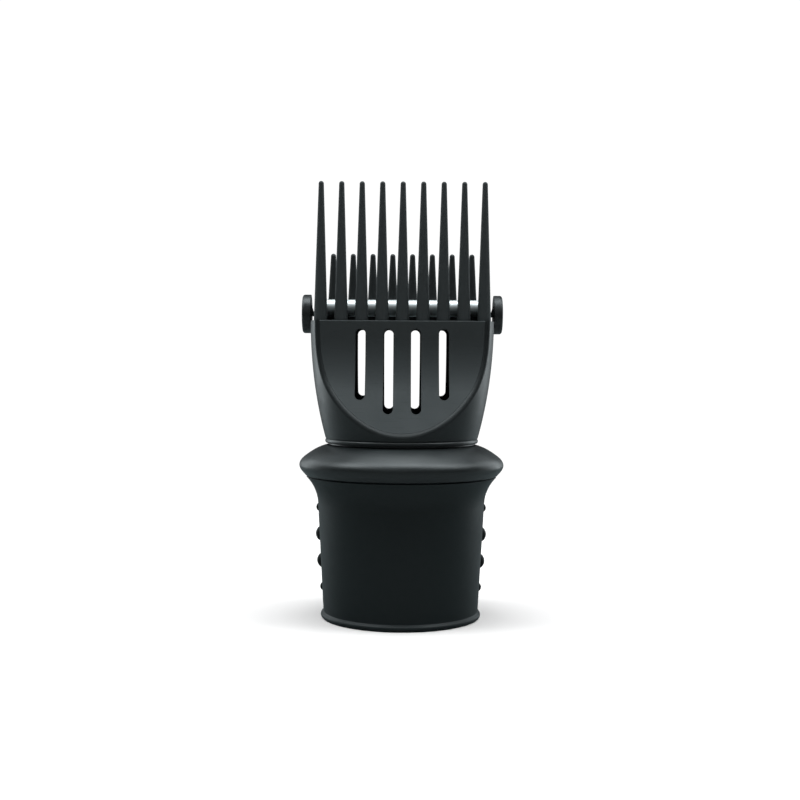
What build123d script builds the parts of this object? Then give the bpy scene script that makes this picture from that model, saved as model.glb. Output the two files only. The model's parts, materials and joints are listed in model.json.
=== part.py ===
from build123d import *
import os
from math import cos, hypot, radians, sin

# Comb nozzle for a hair dryer, in millimetres.
# Frame: +Z up along the air path, +X to the right across the combs, -Y towards the front.
# Origin: centre of the rubber sleeve's bottom rim, where the dryer goes in.
# From the bottom: a rubber sleeve that grips the dryer, a bulged collar, a head that turns in the
# collar, a row of long teeth on the head's front plate, and a tilting comb between two knobs.

# ---- rubber sleeve -------------------------------------------------------------------------
BORE_R = 25.0              # socket that takes the dryer's barrel
BORE_TOP = 42.0            # the socket's end, against the clamp ring
MOUTH_CHAMFER = 1.0
BEAD_R = 28.7              # rolled bead round the mouth
BEAD_FOOT_R = 28.0
BEAD_MID_H = 1.0
BEAD_H = 2.0
BEAD_TOP_R = 28.1
WALL_FOOT = (27.8, 2.4)    # outer wall just above the bead
WALL_TOP = (29.87, 41.0)   # where the wall starts to flare
FLARE_MID = (31.09, 46.13)
FLARE_END = (34.05, 50.5)
SEAM = (33.65, 50.85)      # foot of the fine groove between flange and collar
FLANGE_FLOOR = 46.5
FLANGE_HOLE_R = 26.8
POCKET_R = 28.4            # undercut above the socket that the clamp ring sits in
TONGUE = (29.8, 31.4)      # bead on the flange that locks into the collar
TONGUE_H = 1.8
NUB_AZIMUTH = 8.0          # degrees behind the sleeve's widest line, on each side
NUBS = [(9.9, 1.7, 1.4), (19.5, 2.9, 2.0), (29.2, 2.9, 2.0), (38.8, 1.7, 1.4)]  # z, radius, height

# ---- collar and swivel ---------------------------------------------------------------------
COLLAR_PROFILE = [
    (34.45, 51.2), (35.35, 52.2), (36.3, 53.5), (36.65, 54.7), (36.1, 56.4), (34.2, 58.2),
    (30.8, 60.4), (27.0, 61.9)]
COLLAR_BORE_R = 24.38      # runs on the head's spigot, 0.08 radial clearance
HOLLOW = [(53.9, 33.0), (54.8, 33.6), (56.2, 32.6)]    # z and radius of the lightening hollow's rim
HOLLOW_TOP = 59.0
NECK_R = 26.6              # skirt that reaches down through the sleeve's flange
NECK_FLOOR = 43.6
CLAMP_OUTER_R = 28.2
CLAMP_TOP = 46.5
CLAMP_FLOOR = 43.9
SNAP_Z = 49.0              # groove pair for the snap ring
SNAP_H = 1.2
SNAP_R = (23.7, 25.1)
SNAP_PLAY = 0.15           # the collar's groove is this much larger than the ring
SNAP_GAP = 4.0             # opening in the ring, for springing it in
SEAL_Z = 57.5              # groove for the O-ring that gives the swivel its drag
SEAL_H = 1.7
SEAL_GROOVE_R = 22.9
SEAL_PLAY = 0.03

# ---- head ----------------------------------------------------------------------------------
SPIGOT_R = 24.3
AIR_R = 21.4
SPIGOT_FLOOR = 46.0
THRUST_Z = 62.2            # shoulder that stands on the collar's top, 0.3 clear
SHOULDER_R = 26.2
LIP_FLOOR = 62.7
LIP_R = 27.45
LIP_H = 1.4
LIP_BULGE = 0.35           # how far the lip's rounded edge stands out
STEP_BACK = (0.1, 0.25)    # small step between the lip and the barrel, in radius and height
BARREL = [(27.4, 64.6), (29.5, 73.3), (31.45, 84.8), (32.55, 96.3), (32.9, 106.0)]
BARREL_WALL = 2.4
FUNNEL_H = 3.3             # cone inside, between the spigot and the barrel
RIM_Z = 106.0
EDGE = 1.3                 # edge of the wall that stands round each plate
EDGE_ROUND = 1.6

# concave face of the front and rear plates, seen from the side
SCOOP_R = 34.0
SCOOP_LEAN = 32.0          # slope of the lower part, degrees from vertical
SCOOP_Z = 99.5             # the face is vertical above this height
SCOOP_RUN = 30.0           # length of the straight lower part, well past the barrel's foot
OUTSIDE_Y = -60.0          # well in front of the head
OUTSIDE_Z = 130.0          # well above the head
CUT_REACH = 40.0           # half length of cutters, well past the widest part
FACE_Y = 12.6              # distance of the vertical part from the axis
PLATE_T = 2.0
PLATE_GAP = 0.1
PLATE_SINK = 0.05
PLATE_ROUND = 0.4          # rounded front edge along the top
RAIL_FLOOR = 103.6         # thick bar along each plate's top edge
RAIL_BACK = 8.0            # distance of the bar's rear face from the axis
RAIL_SET_BACK = 0.5        # the bar starts this far behind the plate's face
RAIL_HALF = 27.7

# slot width, height of its top, and for each distance from the middle the height of its foot
FRONT_SLOTS = (3.5, 103.1, {4.85: 73.5, 14.6: 78.3})
REAR_SLOTS = (3.4, 103.4, {4.85: 74.2, 14.6: 79.1})

# ---- teeth ---------------------------------------------------------------------------------
PITCH = 7.175
LONG_COUNT = 9
LONG_Y = -10.0
LONG_ROOT = (2.4, 2.0)     # half width and half depth at the root
LONG_TIP_R = 0.93
LONG_TIP_Z = 154.7
SHORT_COUNT = 8
SHORT_Y = 4.8
SHORT_ROOT = (1.95, 1.6)
SHORT_TIP_R = 0.95
SHORT_TIP_Z = 130.8
SHORT_ROOT_SINK = 0.5      # roots start inside the spine

# ---- tilting comb --------------------------------------------------------------------------
PIVOT = (5.0, 108.9)       # y and z of the tilt axis, which runs along X
SPINE_HALF = 27.2
SPINE_Y = (3.2, 6.4)
SPINE_Z = (106.2, 111.6)
TENON_Y = (3.7, 5.9)       # end tongues that plug into the cheeks
TENON_Z = (109.9, 111.2)
TENON_END = 28.4
BAR = (-0.2, 110.85)       # y and z of the polished glide bar
BAR_R = 3.0
BAR_BORE_R = 2.2
BAR_END = 28.9
CHEEK_X = (27.6, 29.3)
CHEEK_PIVOT_R = 3.2
CHEEK_BAR_R = 3.7
WASHER_X = (29.35, 29.8)
WASHER_R = 2.6
EAR_X = (29.9, 31.7)
EAR_HALF_Y = 3.5
EAR_FOOT = 97.0
EAR_SET_BACK = 0.3         # the ear's root stays this far inside the barrel's skin
SCREW_R = 0.9
SCREW_HEAD_R = 1.9
SCREW_HEAD_X = (34.2, 35.05)
SCREW_TIP_X = 27.9
EAR_BORE_R = 0.96          # runs on the screw's plain shank
KNOB_X = (33.1, 36.1)
KNOB_R = 7.0
KNOB_ROUND = 0.9
CAP_R = 4.0
CAP_PLAY = 0.05
CAP_ROUND = 0.3
CAP_X = (35.1, 36.1)
WEB = [(33.3, 108.9), (32.15, 108.9), (32.15, 109.6), (33.3, 113.0)]   # x and z of the knob's web
WEB_T = 1.8


def turned(*edges):
    """Solid of revolution about Z of a closed outline given as radius and height."""
    return revolve(Plane.XZ * make_face(edges), Axis.Z)


def ring(inner, outer, floor, top):
    """Plain ring about Z."""
    return Pos(0, 0, (floor + top) / 2) * (Cylinder(outer, top - floor) - Cylinder(inner, top - floor))


def along_x(x_range, radius, centre):
    """Cylinder along X between two places, centred on a point given as y and z."""
    length = x_range[1] - x_range[0]
    middle = (x_range[0] + x_range[1]) / 2
    return Pos(middle, *centre) * Rot(0, 90, 0) * Cylinder(radius, length)


def block(x_range, y_range, z_range):
    """Box between its two ends on each axis."""
    size = [high - low for low, high in (x_range, y_range, z_range)]
    middle = [(low + high) / 2 for low, high in (x_range, y_range, z_range)]
    return Pos(*middle) * Box(*size)


def other_side(shape):
    """The same shape on the left of the object."""
    return mirror(shape, about=Plane.YZ)


def rear(shape):
    """The same shape at the back of the object."""
    return mirror(shape, about=Plane.XZ)


def adapter_sleeve():
    mouth = Line((BORE_R + MOUTH_CHAMFER, 0), (BEAD_FOOT_R, 0))
    bead = ThreePointArc((BEAD_FOOT_R, 0), (BEAD_R, BEAD_MID_H), (BEAD_TOP_R, BEAD_H))
    wall = Polyline((BEAD_TOP_R, BEAD_H), WALL_FOOT, WALL_TOP)
    flare = ThreePointArc(WALL_TOP, FLARE_MID, FLARE_END)
    tongue_top = SEAM[1] + TONGUE_H
    inside = Polyline(
        FLARE_END, SEAM, (TONGUE[1], SEAM[1]), (TONGUE[1], tongue_top), (TONGUE[0], tongue_top),
        (TONGUE[0], SEAM[1]), (FLANGE_HOLE_R, SEAM[1]), (FLANGE_HOLE_R, FLANGE_FLOOR),
        (POCKET_R, FLANGE_FLOOR), (POCKET_R, BORE_TOP), (BORE_R, BORE_TOP),
        (BORE_R, MOUTH_CHAMFER), (BORE_R + MOUTH_CHAMFER, 0))
    sleeve = turned(mouth, bead, wall, flare, inside)
    slope = (WALL_TOP[0] - WALL_FOOT[0]) / (WALL_TOP[1] - WALL_FOOT[1])
    for z, radius, height in NUBS:
        ball_r = (radius ** 2 + height ** 2) / (2 * height)
        reach = WALL_FOOT[0] + slope * (z - WALL_FOOT[1]) + height - ball_r
        dome = Rot(0, 90, 0) * Sphere(ball_r, arc_size1=0, align=(Align.CENTER, Align.CENTER, Align.MIN))
        for azimuth in (NUB_AZIMUTH, 180 - NUB_AZIMUTH):
            sleeve += Rot(0, 0, azimuth) * Pos(reach, 0, z) * dome
    return sleeve


def collar_ring():
    seam_z = SEAM[1]
    land = COLLAR_PROFILE[-1]
    lower = Line(SEAM, COLLAR_PROFILE[0])
    bulge = Spline(*COLLAR_PROFILE)
    inside = Polyline(
        land, (COLLAR_BORE_R, land[1]), (COLLAR_BORE_R, NECK_FLOOR), (NECK_R, NECK_FLOOR),
        (NECK_R, seam_z), (TONGUE[0], seam_z), (TONGUE[0], seam_z + TONGUE_H),
        (TONGUE[1], seam_z + TONGUE_H), (TONGUE[1], seam_z), SEAM)
    collar = turned(lower, bulge, inside)
    hollow_floor = HOLLOW[0][0]
    rim = [(radius, z) for z, radius in HOLLOW]
    hollow = turned(Polyline((NECK_R, hollow_floor), *rim, (NECK_R, HOLLOW_TOP), (NECK_R, hollow_floor)))
    half = SNAP_H / 2 + SNAP_PLAY
    snap_groove = ring(SNAP_R[0], SNAP_R[1] + SNAP_PLAY, SNAP_Z - half, SNAP_Z + half)
    return collar - hollow - snap_groove


def sleeve_clamp_ring():
    return ring(NECK_R, CLAMP_OUTER_R, CLAMP_FLOOR, CLAMP_TOP)


def swivel_snap_ring():
    """Open wire ring in the spigot's groove, with a gap for springing it in."""
    wire = ring(SNAP_R[0], SNAP_R[1], SNAP_Z - SNAP_H / 2, SNAP_Z + SNAP_H / 2)
    return wire - block((-SNAP_GAP / 2, SNAP_GAP / 2), (0, NECK_R), (SNAP_Z - SNAP_H, SNAP_Z + SNAP_H))


def swivel_o_ring():
    return ring(SEAL_GROOVE_R, COLLAR_BORE_R - SEAL_PLAY, SEAL_Z - SEAL_H / 2, SEAL_Z + SEAL_H / 2)


def barrel(inset):
    """Filled barrel of the head, its wall moved inwards by inset."""
    wall = [(r - inset, z) for r, z in BARREL]
    closing = Polyline(wall[-1], (0, RIM_Z), (0, BARREL[0][1]), wall[0])
    return turned(Spline(*wall), closing)


def scoop(inset):
    """All that lies in front of the concave face, the face moved inwards by inset."""
    lean = radians(SCOOP_LEAN)
    radius = SCOOP_R + inset
    centre_y = -FACE_Y - SCOOP_R
    start = (centre_y + radius, SCOOP_Z)
    middle = (centre_y + radius * cos(lean / 2), SCOOP_Z - radius * sin(lean / 2))
    end = (centre_y + radius * cos(lean), SCOOP_Z - radius * sin(lean))
    foot = (end[0] - SCOOP_RUN * sin(lean), end[1] - SCOOP_RUN * cos(lean))
    face = make_face([
        Polyline(foot, (OUTSIDE_Y, foot[1]), (OUTSIDE_Y, OUTSIDE_Z), (start[0], OUTSIDE_Z), start),
        ThreePointArc(start, middle, end),
        Line(end, foot)])
    return extrude(Plane.YZ * face, CUT_REACH, both=True)


def is_cut_outline(edge):
    """True of an edge where a concave face meets the barrel's skin."""
    middle = edge @ 0.5
    on_skin = hypot(middle.X, middle.Y) > BARREL[0][0]
    return on_skin and abs(middle.Y) > 1 and BARREL[0][1] < middle.Z < RIM_Z - 1


def nozzle_housing():
    wall_r, wall_z = BARREL[0]
    skin = barrel(0) - scoop(0) - rear(scoop(0))
    skin = fillet(skin.edges().filter_by(is_cut_outline), EDGE_ROUND)
    shell = skin - barrel(BARREL_WALL)
    for pocket in (barrel(EDGE) & scoop(PLATE_T), rear(barrel(EDGE) & scoop(PLATE_T))):
        shell -= pocket
    lip_foot = (LIP_R - LIP_BULGE, LIP_FLOOR)
    lip_top = (LIP_R - LIP_BULGE, LIP_FLOOR + LIP_H)
    lip = ThreePointArc(lip_foot, (LIP_R, LIP_FLOOR + LIP_H / 2), lip_top)
    rest = Polyline(
        lip_top, (wall_r - STEP_BACK[0], wall_z - STEP_BACK[1]), (wall_r, wall_z),
        (wall_r - BARREL_WALL, wall_z), (AIR_R, wall_z - FUNNEL_H), (AIR_R, SPIGOT_FLOOR),
        (SPIGOT_R, SPIGOT_FLOOR), (SPIGOT_R, THRUST_Z), (SHOULDER_R, THRUST_Z),
        (SHOULDER_R, LIP_FLOOR), lip_foot)
    shell += turned(lip, rest)
    shell -= ring(SNAP_R[0], SPIGOT_R + 1, SNAP_Z - SNAP_H / 2, SNAP_Z + SNAP_H / 2)
    shell -= ring(SEAL_GROOVE_R, SPIGOT_R + 1, SEAL_Z - SEAL_H / 2, SEAL_Z + SEAL_H / 2)
    pivot_y, pivot_z = PIVOT
    ear = block(EAR_X, (pivot_y - EAR_HALF_Y, pivot_y + EAR_HALF_Y), (RIM_Z - 1, pivot_z))
    ear += along_x(EAR_X, EAR_HALF_Y, PIVOT)
    root = block(EAR_X, (pivot_y - EAR_HALF_Y, pivot_y + EAR_HALF_Y), (EAR_FOOT, RIM_Z))
    ear += root & barrel(EAR_SET_BACK)
    ear -= along_x((EAR_X[0] - 1, EAR_X[1] + 1), EAR_BORE_R, PIVOT)
    return shell + ear + other_side(ear)


def slotted_plate(slot_width, slot_top, slot_feet):
    """Front plate without its teeth: a concave skin with four slots and a stiff top rail."""
    plate = (barrel(EDGE + PLATE_GAP) & scoop(PLATE_T)) - scoop(PLATE_SINK)
    top_edges = plate.edges().group_by(Axis.Z)[-1]
    plate = fillet(top_edges.sort_by(Axis.Y)[0], PLATE_ROUND)
    rail_front = -FACE_Y + PLATE_SINK + RAIL_SET_BACK
    plate += block((-RAIL_HALF, RAIL_HALF), (rail_front, -RAIL_BACK), (RAIL_FLOOR, RIM_Z))
    for distance, foot in slot_feet.items():
        height = slot_top - foot
        cutter = extrude(Plane.XZ * Rot(0, 0, 90) * SlotOverall(height, slot_width), CUT_REACH)
        for side in (-1, 1):
            plate -= Pos(side * distance, 0, foot + height / 2) * cutter
    return plate


def tooth(x, y, root_z, root, tip_r, tip_z):
    """Tapered oval tooth with a round tip."""
    neck_z = tip_z - tip_r
    sections = [
        Pos(x, y, root_z) * Ellipse(*root),
        Pos(x, y, neck_z) * Ellipse(tip_r, tip_r)]
    return loft(sections) + Pos(x, y, neck_z) * Sphere(tip_r)


def row(count):
    """Places along X of a row of teeth centred on the axis."""
    return [(index - (count - 1) / 2) * PITCH for index in range(count)]


def front_comb_plate():
    plate = slotted_plate(*FRONT_SLOTS)
    for x in row(LONG_COUNT):
        plate += tooth(x, LONG_Y, RIM_Z, LONG_ROOT, LONG_TIP_R, LONG_TIP_Z)
    return plate


def rear_grille_plate():
    return rear(slotted_plate(*REAR_SLOTS))


def tenons():
    """Bar whose two ends stick out of the spine and into the cheeks."""
    return block((-TENON_END, TENON_END), TENON_Y, TENON_Z)


def rear_comb():
    comb = block((-SPINE_HALF, SPINE_HALF), SPINE_Y, SPINE_Z) + tenons()
    for x in row(SHORT_COUNT):
        comb += tooth(x, SHORT_Y, SPINE_Z[1] - SHORT_ROOT_SINK, SHORT_ROOT, SHORT_TIP_R, SHORT_TIP_Z)
    return comb


def glide_bar():
    bar = along_x((-BAR_END, BAR_END), BAR_R, BAR)
    return bar - along_x((-BAR_END, BAR_END), BAR_BORE_R, BAR)


def comb_cheek():
    """End plate that joins the comb, the glide bar and the pivot screw."""
    pivot_disc = along_x(CHEEK_X, CHEEK_PIVOT_R, PIVOT)
    bar_disc = along_x(CHEEK_X, CHEEK_BAR_R, BAR)
    run = (BAR[0] - PIVOT[0], BAR[1] - PIVOT[1])
    length = hypot(*run)
    across = (-run[1] / length, run[0] / length)
    corners = [
        (PIVOT[0] + across[0] * CHEEK_PIVOT_R, PIVOT[1] + across[1] * CHEEK_PIVOT_R),
        (BAR[0] + across[0] * CHEEK_BAR_R, BAR[1] + across[1] * CHEEK_BAR_R),
        (BAR[0] - across[0] * CHEEK_BAR_R, BAR[1] - across[1] * CHEEK_BAR_R),
        (PIVOT[0] - across[0] * CHEEK_PIVOT_R, PIVOT[1] - across[1] * CHEEK_PIVOT_R)]
    outline = make_face(Polyline(*corners, close=True))
    arm = extrude(Plane.YZ.offset(CHEEK_X[0]) * outline, CHEEK_X[1] - CHEEK_X[0])
    cheek = pivot_disc + bar_disc + arm
    cheek -= along_x((CHEEK_X[0] - 1, BAR_END), BAR_R, BAR)
    cheek -= along_x((CHEEK_X[0] - 1, CHEEK_X[1] + 1), SCREW_R, PIVOT)
    return cheek - tenons()


def friction_washer():
    return along_x(WASHER_X, WASHER_R, PIVOT) - along_x(WASHER_X, SCREW_R, PIVOT)


def pivot_screw():
    shank = along_x((SCREW_TIP_X, SCREW_HEAD_X[0]), SCREW_R, PIVOT)
    return shank + along_x(SCREW_HEAD_X, SCREW_HEAD_R, PIVOT)


def knob():
    disc = along_x(KNOB_X, KNOB_R, PIVOT)
    outer_edge = disc.edges().filter_by(GeomType.CIRCLE).sort_by(Axis.X)[-1]
    disc = fillet(outer_edge, KNOB_ROUND)
    web_face = Plane.XZ.offset(-PIVOT[0] - WEB_T / 2) * make_face(Polyline(*WEB, close=True))
    disc += extrude(web_face, WEB_T)
    disc -= along_x((KNOB_X[0] - 1, KNOB_X[1]), SCREW_R, PIVOT)
    disc -= along_x((SCREW_HEAD_X[0], KNOB_X[1]), SCREW_HEAD_R, PIVOT)
    return disc - along_x((CAP_X[0], KNOB_X[1] + 1), CAP_R + CAP_PLAY, PIVOT)


def knob_cap():
    disc = along_x(CAP_X, CAP_R, PIVOT)
    outer_edge = disc.edges().filter_by(GeomType.CIRCLE).sort_by(Axis.X)[-1]
    return fillet(outer_edge, CAP_ROUND)


NODES = {
    "adapter_sleeve": adapter_sleeve(),
    "collar_ring": collar_ring(),
    "sleeve_clamp_ring": sleeve_clamp_ring(),
    "swivel_snap_ring": swivel_snap_ring(),
    "swivel_o_ring": swivel_o_ring(),
    "nozzle_housing": nozzle_housing(),
    "front_comb_plate": front_comb_plate(),
    "rear_grille_plate": rear_grille_plate(),
    "rear_comb": rear_comb(),
    "glide_bar": glide_bar(),
}
for name, piece in (
        ("comb_cheek", comb_cheek()), ("friction_washer", friction_washer()),
        ("pivot_screw", pivot_screw()), ("knob", knob()), ("knob_cap", knob_cap())):
    NODES[name + "_right"] = piece
    NODES[name + "_left"] = other_side(piece)

os.makedirs("parts", exist_ok=True)
for name, shape in NODES.items():
    export_step(shape, f"parts/{name}.step")
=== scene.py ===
import json
from math import radians

import bpy
from mathutils import Euler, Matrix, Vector


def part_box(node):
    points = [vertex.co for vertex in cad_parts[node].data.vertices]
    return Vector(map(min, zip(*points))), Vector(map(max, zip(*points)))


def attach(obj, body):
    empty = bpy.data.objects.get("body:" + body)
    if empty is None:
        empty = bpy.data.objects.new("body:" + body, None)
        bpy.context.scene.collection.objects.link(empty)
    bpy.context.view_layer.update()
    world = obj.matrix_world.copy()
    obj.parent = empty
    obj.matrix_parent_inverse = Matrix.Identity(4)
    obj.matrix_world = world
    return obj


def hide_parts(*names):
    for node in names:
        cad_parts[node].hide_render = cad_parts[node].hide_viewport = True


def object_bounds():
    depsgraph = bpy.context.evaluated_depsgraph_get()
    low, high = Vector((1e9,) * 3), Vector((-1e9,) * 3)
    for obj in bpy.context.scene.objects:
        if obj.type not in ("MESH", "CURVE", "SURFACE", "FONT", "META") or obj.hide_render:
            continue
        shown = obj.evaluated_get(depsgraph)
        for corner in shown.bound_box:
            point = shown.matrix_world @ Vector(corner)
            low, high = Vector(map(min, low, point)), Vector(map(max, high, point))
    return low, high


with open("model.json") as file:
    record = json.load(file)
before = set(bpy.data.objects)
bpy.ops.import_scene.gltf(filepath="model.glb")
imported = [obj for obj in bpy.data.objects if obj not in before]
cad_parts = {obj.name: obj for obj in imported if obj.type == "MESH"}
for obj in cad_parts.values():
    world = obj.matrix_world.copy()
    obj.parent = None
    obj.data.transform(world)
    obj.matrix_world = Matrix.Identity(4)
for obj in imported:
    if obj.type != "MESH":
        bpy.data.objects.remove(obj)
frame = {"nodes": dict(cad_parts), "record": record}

CAD_LOW, CAD_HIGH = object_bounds()
MM = 0.001

# Finishes. Noise scales are cells per metre along each axis.
PLASTIC_IOR = 1.5                   # plastics, rubbers and paper alike
DRIFT_SPAN = (0.35, 0.65)           # noise levels that the slow drifts of roughness reach over
SCRATCH_TURN = (0.3, 0.8, 0.5)      # radians
SCRATCH_SCALE = (120, 2600, 2600)   # scratches about 8 mm long and a few tenths wide
SCRATCH_SPAN = (0.66, 0.72)         # noise levels between which a scratch sets in
BRUSHED_SCALE = (15, 2500, 2500)    # lines that run along the tube
# Painted shade: the colour the sleeve's nubs are darkened to, for the little light that reaches them.
NUB_PAINTED_SHADE = "#080a0a"
RUBBER_SHINE, NUB_SHINE = 0.36, 0.12    # specular levels

# The sleeve's nubs and the O-ring, in metres.
NUB_ZONE = (0.005, 0.042)           # heights between which the sleeve has its nubs
NUB_WALL = (0.0282, 0.0302)         # the sleeve's radius at these heights, and a quarter millimetre
O_RING_WIDTH = 0.00145              # radial width of its section, between groove and collar

# Studio, in metres.
FLOOR_R, FLOOR_SIDES = 0.45, 96
PAPER, MIRRORED_PAPER = "#faf0ed", "#6b7475"
LIGHT_TINT = (0.88, 0.97, 1.0)
LIGHT_AIM = (0, 0, 0.09)            # a little above the object's middle
ROOM_GREY = 0.05
BACKDROP_STRENGTH = 1.05
CAMERA_PLACE = (-0.00072, -0.427, 0.088)
CAMERA_DIP = 1.35                   # degrees below the horizon
CAMERA_ROLL = -0.37                 # degrees
LENS_MM, SENSOR_MM = 53.4, 36


# ---------------------------------------------------------------- materials

def linear(hex_colour):
    """sRGB hex to the linear values that the shader takes."""
    channels = [int(hex_colour[i:i + 2], 16) / 255 for i in (1, 3, 5)]
    return [c / 12.92 if c <= 0.04045 else ((c + 0.055) / 1.055) ** 2.4 for c in channels] + [1.0]


def add_node(tree, kind, settings=None, **inputs):
    """Adds a node. An input given as a socket is linked, any other is set.

    n0, n1 ... name an input by its number; in other names an underscore stands for a space.
    """
    made = tree.nodes.new(kind)
    for name, value in (settings or {}).items():
        setattr(made, name, value)
    for name, value in inputs.items():
        by_number = name[0] == "n" and name[1:].isdigit()
        socket = made.inputs[int(name[1:]) if by_number else name.replace("_", " ")]
        if isinstance(value, bpy.types.NodeSocket):
            tree.links.new(value, socket)
        else:
            socket.default_value = value
    return made


def new_material(name, base, roughness, metallic=0.0):
    """A Principled material with its uniform values set on the shader. Returns material, tree, shader."""
    material = bpy.data.materials.new(name)
    material.use_nodes = True
    tree = material.node_tree
    shader = tree.nodes["Principled BSDF"]
    shader.inputs["Base Color"].default_value = linear(base)
    shader.inputs["Roughness"].default_value = roughness
    shader.inputs["Metallic"].default_value = metallic
    if not metallic:
        shader.inputs["IOR"].default_value = PLASTIC_IOR
    return material, tree, shader


def grained(name, dark, light, rough_low, rough_high, grain_mm, grain_depth_mm, cloud_mm, scuffs=0.0):
    """Moulded surface: a fine grain in relief, and slow drifts of colour and roughness as from handling.

    scuffs is how much rougher the surface is along its few hairline scratches.
    """
    material, tree, shader = new_material(name, dark, rough_low)
    place = add_node(tree, "ShaderNodeTexCoord").outputs["Object"]
    grain = add_node(tree, "ShaderNodeTexNoise", Vector=place, Scale=1 / (grain_mm * MM), Detail=3.0)
    cloud = add_node(tree, "ShaderNodeTexNoise", Vector=place, Scale=1 / (cloud_mm * MM), Detail=4.0)
    colour = add_node(tree, "ShaderNodeMix", {"data_type": "RGBA"}, n0=cloud.outputs["Fac"],
                      n6=linear(dark), n7=linear(light))
    tree.links.new(colour.outputs[2], shader.inputs["Base Color"])
    rough = add_node(tree, "ShaderNodeMapRange", Value=cloud.outputs["Fac"], From_Min=DRIFT_SPAN[0],
                     From_Max=DRIFT_SPAN[1], To_Min=rough_low, To_Max=rough_high)
    turned = add_node(tree, "ShaderNodeMapping", Vector=place, Rotation=SCRATCH_TURN, Scale=SCRATCH_SCALE)
    streaks = add_node(tree, "ShaderNodeTexNoise", Vector=turned.outputs["Vector"], Scale=1.0, Detail=1.0)
    scratch = add_node(tree, "ShaderNodeMapRange", Value=streaks.outputs["Fac"], From_Min=SCRATCH_SPAN[0],
                       From_Max=SCRATCH_SPAN[1], To_Min=0.0, To_Max=scuffs)
    worn = add_node(tree, "ShaderNodeMath", n0=rough.outputs["Result"], n1=scratch.outputs["Result"])
    tree.links.new(worn.outputs["Value"], shader.inputs["Roughness"])
    depth = grain_depth_mm * MM
    bump = add_node(tree, "ShaderNodeBump", Height=grain.outputs["Fac"], Strength=1.0, Distance=depth)
    tree.links.new(bump.outputs["Normal"], shader.inputs["Normal"])
    return material, tree, shader


def satin_abs():
    """ABS from a spark-eroded mould: deep black with a silky, finely grained skin."""
    return grained("ABS_moulded_satin", "#101415", "#151a1b", rough_low=0.38, rough_high=0.46,
                   grain_mm=0.5, grain_depth_mm=0.010, cloud_mm=9, scuffs=0.10)[0]


def comb_nylon():
    """Glass-filled nylon of the plates and long teeth: a greyer, duller black than the casing."""
    return grained("nylon_moulded_comb", "#1f2425", "#252a2b", rough_low=0.64, rough_high=0.71,
                   grain_mm=0.6, grain_depth_mm=0.008, cloud_mm=12, scuffs=0.08)[0]


def shaded_short_comb_nylon():
    """The comb nylon painted darker than the plates for the short comb: painted shade, for the shade it
    stands in behind the long teeth.
    """
    return grained("nylon_moulded_short_comb_painted_shade", "#111515", "#161a1b", rough_low=0.55, rough_high=0.63,
                   grain_mm=0.6, grain_depth_mm=0.008, cloud_mm=12, scuffs=0.08)[0]


def nub_shade_mask(tree):
    """A socket that is 1 where the sleeve's nubs stand out from its wall, and 0 elsewhere; it places the
    painted shade on the nubs.
    """
    place = add_node(tree, "ShaderNodeTexCoord").outputs["Object"]
    height = add_node(tree, "ShaderNodeSeparateXYZ", Vector=place).outputs["Z"]
    flat = add_node(tree, "ShaderNodeVectorMath", {"operation": "MULTIPLY"}, n0=place, n1=(1, 1, 0))
    reach = add_node(tree, "ShaderNodeVectorMath", {"operation": "LENGTH"}, n0=flat.outputs["Vector"])
    wall = add_node(tree, "ShaderNodeMapRange", Value=height, From_Min=NUB_ZONE[0], From_Max=NUB_ZONE[1],
                    To_Min=NUB_WALL[0], To_Max=NUB_WALL[1])
    out = add_node(tree, "ShaderNodeMath", {"operation": "GREATER_THAN"},
                   n0=reach.outputs["Value"], n1=wall.outputs["Result"])
    above = add_node(tree, "ShaderNodeMath", {"operation": "GREATER_THAN"}, n0=height, n1=NUB_ZONE[0])
    below = add_node(tree, "ShaderNodeMath", {"operation": "LESS_THAN"}, n0=height, n1=NUB_ZONE[1])
    product = {"operation": "MULTIPLY"}
    zone = add_node(tree, "ShaderNodeMath", product, n0=above.outputs["Value"], n1=below.outputs["Value"])
    nubs = add_node(tree, "ShaderNodeMath", product, n0=out.outputs["Value"], n1=zone.outputs["Value"])
    return nubs.outputs["Value"]


def matte_rubber():
    """Thermoplastic rubber, moulded matte: dull black with soft smudges; painted shade makes the nubs near
    black, and they shine less.
    """
    material, tree, shader = grained("TPE_rubber_matte", "#081112", "#0c1618",
                                     rough_low=0.50, rough_high=0.60,
                                     grain_mm=0.6, grain_depth_mm=0.012, cloud_mm=16)
    nubs = nub_shade_mask(tree)
    colour = shader.inputs["Base Color"].links[0].from_socket
    # Painted shade: the nubs' colour is mixed towards near black.
    painted_nub_shade = add_node(tree, "ShaderNodeMix", {"data_type": "RGBA"}, n0=nubs,
                       n6=colour, n7=linear(NUB_PAINTED_SHADE))
    tree.links.new(painted_nub_shade.outputs[2], shader.inputs["Base Color"])
    shine = add_node(tree, "ShaderNodeMapRange", Value=nubs, To_Min=RUBBER_SHINE, To_Max=NUB_SHINE)
    tree.links.new(shine.outputs["Result"], shader.inputs["Specular IOR Level"])
    return material


def knob_abs():
    """ABS knob from a fine-grained mould, rubbed a little smoother by fingers."""
    return grained("ABS_moulded_knob", "#141718", "#1a1d1e", rough_low=0.36, rough_high=0.50,
                   grain_mm=0.5, grain_depth_mm=0.010, cloud_mm=5, scuffs=0.12)[0]


def acetal():
    """Acetal for hidden bearing pieces: plain, waxy and black."""
    return grained("acetal_moulded", "#131415", "#181a1b", rough_low=0.40, rough_high=0.48,
                   grain_mm=0.5, grain_depth_mm=0.006, cloud_mm=8)[0]


def nitrile():
    """Nitrile rubber of the O-ring: black with a dull, even skin."""
    return grained("nitrile_rubber_moulded", "#161717", "#1c1d1d", rough_low=0.55, rough_high=0.62,
                   grain_mm=0.4, grain_depth_mm=0.004, cloud_mm=6)[0]


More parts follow.
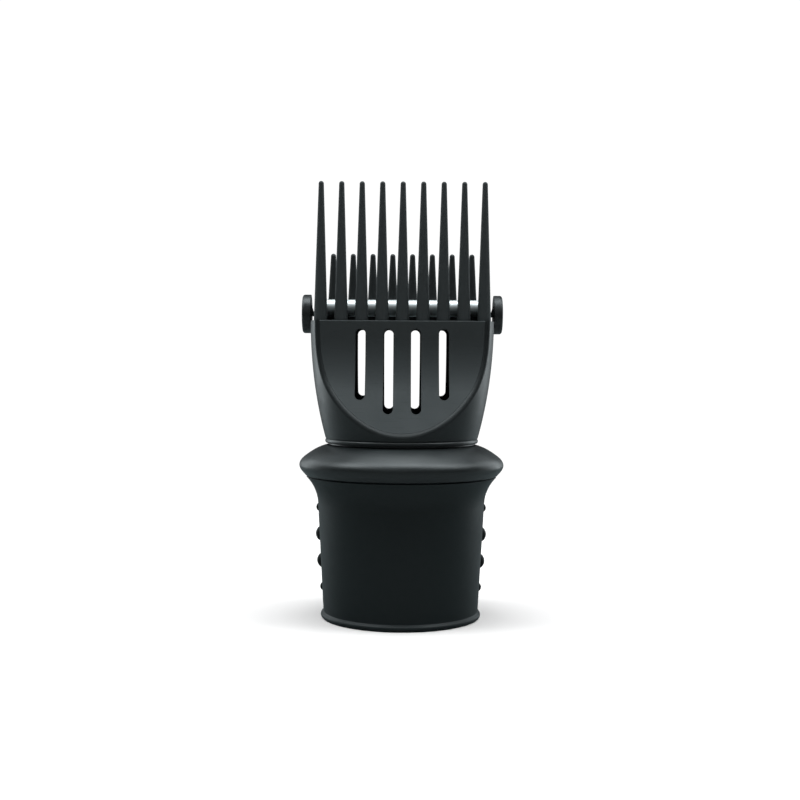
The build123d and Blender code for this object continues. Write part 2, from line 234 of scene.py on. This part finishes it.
def satin_stainless():
    """Stainless tube, drawn and then brushed: bright, soft reflections with faint lines along its length."""
    material, tree, shader = new_material("stainless_brushed_satin", "#dcdede", 0.52, metallic=1.0)
    place = add_node(tree, "ShaderNodeTexCoord").outputs["Object"]
    along = add_node(tree, "ShaderNodeMapping", Vector=place, Scale=BRUSHED_SCALE)
    lines = add_node(tree, "ShaderNodeTexNoise", Vector=along.outputs["Vector"], Scale=1.0, Detail=2.0)
    rough = add_node(tree, "ShaderNodeMapRange", Value=lines.outputs["Fac"], To_Min=0.46, To_Max=0.58)
    tree.links.new(rough.outputs["Result"], shader.inputs["Roughness"])
    return material


def clouded_metal(name, base, roughness, rough_low, rough_high, scale, detail):
    """Metal whose roughness drifts in small clouds. The clouds override the shader's own roughness."""
    material, tree, shader = new_material(name, base, roughness, metallic=1.0)
    place = add_node(tree, "ShaderNodeTexCoord").outputs["Object"]
    cloud = add_node(tree, "ShaderNodeTexNoise", Vector=place, Scale=scale, Detail=detail)
    rough = add_node(tree, "ShaderNodeMapRange", Value=cloud.outputs["Fac"],
                     To_Min=rough_low, To_Max=rough_high)
    tree.links.new(rough.outputs["Result"], shader.inputs["Roughness"])
    return material


def black_oxide():
    """Steel screws with a black oxide skin: dark metal with a soft oily shine."""
    return clouded_metal("steel_black_oxide", "#3a3a3c", 0.35,
                         rough_low=0.28, rough_high=0.42, scale=900.0, detail=3.0)


def spring_wire():
    """Drawn spring steel of the snap ring: grey, with fine draw marks."""
    return clouded_metal("spring_steel_drawn", "#8c8d90", 0.30,
                         rough_low=0.24, rough_high=0.38, scale=1200.0, detail=2.0)


FINISH = {
    "sleeve_rubber": matte_rubber(),
    "seal_rubber": nitrile(),
    "satin_plastic": satin_abs(),
    "comb_plastic": comb_nylon(),
    "knob_plastic": knob_abs(),
    "inner_plastic": acetal(),
    "polished_steel": satin_stainless(),
    "spring_steel": spring_wire(),
    "blackened_steel": black_oxide(),
}
# The short comb's own material is the comb nylon darkened: painted shade.
SHADED_OWN_FINISH = {"rear_comb": shaded_short_comb_nylon()}
SLOT_OF = {part["node"]: part["material_slot"] for part in frame["record"]["subparts"]}


def finish_cad_nodes():
    """Gives each CAD node the material of its slot, or its own: the short comb's own is a darker copy with
    painted shade.
    """
    for name, node in frame["nodes"].items():
        for slot in node.material_slots:
            slot.material = SHADED_OWN_FINISH.get(name, FINISH[SLOT_OF[name]])


# ---------------------------------------------------------------- pieces

def o_ring():
    """The swivel's O-ring with its real rounded section, squeezed a little taller than it is wide."""
    low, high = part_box("swivel_o_ring")
    half_width = O_RING_WIDTH / 2
    bpy.ops.object.select_all(action="DESELECT")
    bpy.ops.mesh.primitive_torus_add(major_radius=high.x - half_width, minor_radius=half_width,
                                     major_segments=160, minor_segments=28)
    ring = bpy.context.object
    ring.name = "o_ring_round"
    bpy.ops.object.mode_set(mode="EDIT")
    bpy.ops.mesh.select_all(action="SELECT")
    bpy.ops.transform.resize(value=(1, 1, (high.z - low.z) / O_RING_WIDTH), center_override=(0, 0, 0))
    bpy.ops.transform.translate(value=(0, 0, (low.z + high.z) / 2))
    bpy.ops.object.mode_set(mode="OBJECT")
    bpy.ops.object.shade_smooth()
    ring.data.materials.append(FINISH["seal_rubber"])
    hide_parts("swivel_o_ring")
    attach(ring, "head")


# ---------------------------------------------------------------- stage, lights and camera

def stage_paper():
    """Plain matte paper, a little warm against the lights' tint, and dimmer in what mirrors it."""
    material, tree, shader = new_material("paper_matte", PAPER, 0.9)
    mirrored = add_node(tree, "ShaderNodeLightPath").outputs["Is Glossy Ray"]
    colour = add_node(tree, "ShaderNodeMix", {"data_type": "RGBA"}, n0=mirrored,
                      n6=linear(PAPER), n7=linear(MIRRORED_PAPER))
    tree.links.new(colour.outputs[2], shader.inputs["Base Color"])
    return material


def make_stage():
    """A wide pale floor under the object, level with its lowest point."""
    bpy.ops.mesh.primitive_circle_add(vertices=FLOOR_SIDES, radius=FLOOR_R, fill_type="NGON",
                                      location=(0, 0, CAD_LOW.z))
    floor = bpy.context.object
    floor.name = "floor"
    floor.data.materials.append(stage_paper())


def soft_light(name, place, size, power):
    """A softbox that faces the object. Metres and watts."""
    data = bpy.data.lights.new(name, "AREA")
    data.shape = "RECTANGLE"
    data.size, data.size_y = size
    data.energy = power
    data.color = LIGHT_TINT
    lamp = bpy.data.objects.new(name, data)
    lamp.location = place
    lamp.rotation_euler = (Vector(LIGHT_AIM) - Vector(place)).to_track_quat("-Z", "Y").to_euler()
    lamp.visible_camera = False
    bpy.context.scene.collection.objects.link(lamp)


def make_lights():
    """A long box overhead, one behind at each side for bright edges, and a weak one in front."""
    soft_light("top_box", (0, -0.08, 1.04), (2.4, 0.6), 28)
    soft_light("left_back_box", (-0.9, 0.75, 0.35), (0.7, 1.0), 5)
    soft_light("right_back_box", (0.9, 0.75, 0.35), (0.7, 1.0), 5)
    soft_light("front_fill", (0, -1.3, 0.7), (0.8, 0.8), 0.7)


def make_world():
    """White paper behind the object, and a dim grey room for what the surfaces mirror."""
    world = bpy.data.worlds.new("studio")
    bpy.context.scene.world = world
    world.use_nodes = True
    tree = world.node_tree
    sky = tree.nodes["Background"]
    sky.inputs["Color"].default_value = (ROOM_GREY, ROOM_GREY, ROOM_GREY, 1)
    paper = add_node(tree, "ShaderNodeBackground", Color=(1, 1, 1, 1), Strength=BACKDROP_STRENGTH)
    seen = add_node(tree, "ShaderNodeLightPath").outputs["Is Camera Ray"]
    mix = add_node(tree, "ShaderNodeMixShader", n0=seen, n1=sky.outputs[0], n2=paper.outputs[0])
    tree.links.new(mix.outputs[0], tree.nodes["World Output"].inputs["Surface"])


def make_camera():
    """The camera stands in front of the object, a little above its middle, and looks slightly down."""
    data = bpy.data.cameras.new("camera")
    data.lens, data.sensor_width = LENS_MM, SENSOR_MM
    camera = bpy.data.objects.new("camera", data)
    camera.location = CAMERA_PLACE
    camera.rotation_euler = Euler((radians(90 - CAMERA_DIP), radians(CAMERA_ROLL), 0), "XYZ")
    bpy.context.scene.collection.objects.link(camera)
    bpy.context.scene.camera = camera
    bpy.context.scene.view_settings.view_transform = "Standard"


finish_cad_nodes()
o_ring()
make_stage()
make_lights()
make_world()
make_camera()
